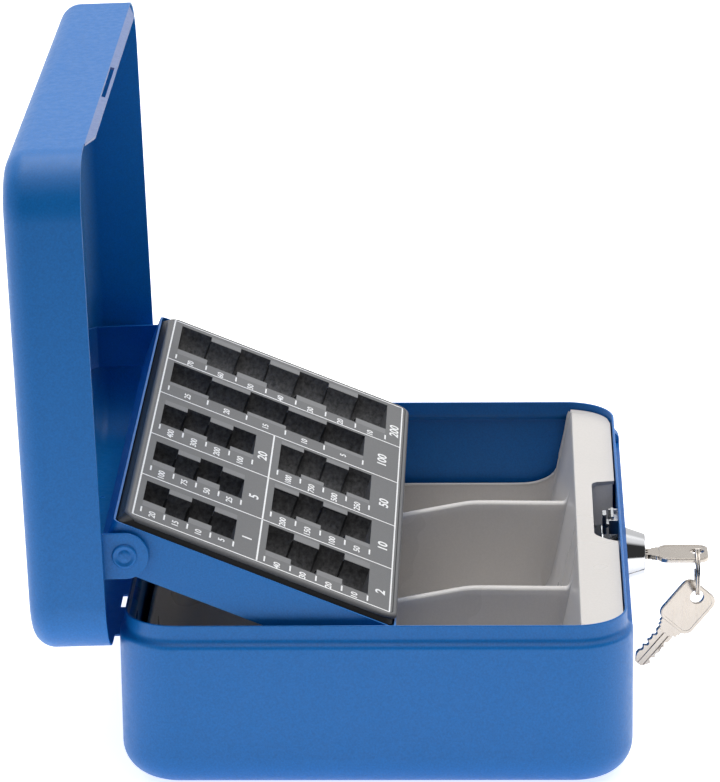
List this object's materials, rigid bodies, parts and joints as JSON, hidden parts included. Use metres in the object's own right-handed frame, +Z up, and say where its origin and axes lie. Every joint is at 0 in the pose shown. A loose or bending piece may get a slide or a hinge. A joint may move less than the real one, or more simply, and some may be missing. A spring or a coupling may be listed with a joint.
{
  "type": "cash box",
  "caption": "Steel cash box with a hinged lid that lifts a sloping coin tray in a steel frame, a moulded compartment insert, a key lock and keys on a ring.",
  "frame": {"origin": "centre of the base's underside", "axes": "+Z up, the front with the lock faces -Y, +X along the box's width"},
  "size_m": [0.25, 0.2524, 0.228],
  "materials": {
    "blue_enamel": "fine-textured powder coat",
    "grey_plastic": "matt moulded",
    "black_plastic": "matt moulded",
    "label_grey": "printed",
    "chrome": "polished",
    "zinc": "die cast",
    "steel": "plated",
    "handle_metal": "plated wire",
    "brass": "stamped",
    "key_nickel": "nickel plated"
  },
  "bodies": {
    "base": {"base_shell": "blue_enamel", "compartment_insert": "grey_plastic", "hinge_straps": "blue_enamel", "hinge_pins": "steel", "hinge_rivets": "blue_enamel", "lock_bezel": "chrome", "lock_housing": "zinc", "lock_clip": "steel", "bolt_guide": "steel"},
    "lid": {"lid_shell": "blue_enamel", "lift_lugs": "blue_enamel", "pivot_rivets": "blue_enamel", "handle_brackets": "handle_metal"},
    "handle": {"carry_handle": "handle_metal", "handle_grip": "black_plastic"},
    "tray_carrier": {"tray_frame": "blue_enamel", "pivot_washers": "steel"},
    "coin_insert": {"coin_tray": "black_plastic", "value_label": "label_grey"},
    "plug": {"lock_plug": "zinc", "lock_wafers": "brass", "lock_cam": "zinc", "cam_screw": "steel"},
    "bolt": {"latch_bolt": "zinc"},
    "key": {"lock_key": "key_nickel"},
    "ring": {"key_ring": "key_nickel"},
    "spare": {"spare_key": "key_nickel"}
  },
  "joints": [
    {"name": "lid_hinge", "type": "hinge", "parent": "base", "child": "lid", "pos_m": [0, 0.088, 0.0502], "axis": [-1, 0, 0], "range_deg": [-91.6, 0]},
    {"name": "tray_pivot", "type": "hinge", "parent": "lid", "child": "tray_carrier", "pos_m": [0, 0.0862, 0.0861], "axis": [-1, 0, 0], "range_deg": [0, 118.2]},
    {"name": "coin_tray_lift", "type": "slide", "parent": "tray_carrier", "child": "coin_insert", "axis": [0, -0.3827, 0.9239], "range_m": [0, 0.012]},
    {"name": "handle_swing", "type": "hinge", "parent": "lid", "child": "handle", "pos_m": [0, 0.12624, 0.13717], "axis": [1, 0, 0], "range_deg": [0, 180]},
    {"name": "plug_turn", "type": "hinge", "parent": "base", "child": "plug", "pos_m": [0, -0.09, 0.042], "axis": [0, -1, 0], "range_deg": [0, 90]},
    {"name": "bolt_slide", "type": "slide", "parent": "base", "child": "bolt", "axis": [0, -1, 0], "range_m": [0, 0.00141]},
    {"name": "key_pull", "type": "slide", "parent": "plug", "child": "key", "axis": [0, -1, 0], "range_m": [0, 0.022]},
    {"name": "ring_swing", "type": "hinge", "parent": "key", "child": "ring", "pos_m": [-0.0053, -0.1165, 0.042], "axis": [1, 0, 0], "range_deg": [-15, 3]},
    {"name": "spare_swing", "type": "hinge", "parent": "ring", "child": "spare", "pos_m": [-0.0053, -0.1165, 0.0286], "axis": [1, 0, 0], "range_deg": [-120, 4]}
  ],
  "couplings": [
    {"joint": "tray_pivot", "follows": "lid_hinge", "ratio": -1.2893},
    {"joint": "bolt_slide", "follows": "plug_turn", "m_per_rad": 0.00089127}
  ]
}
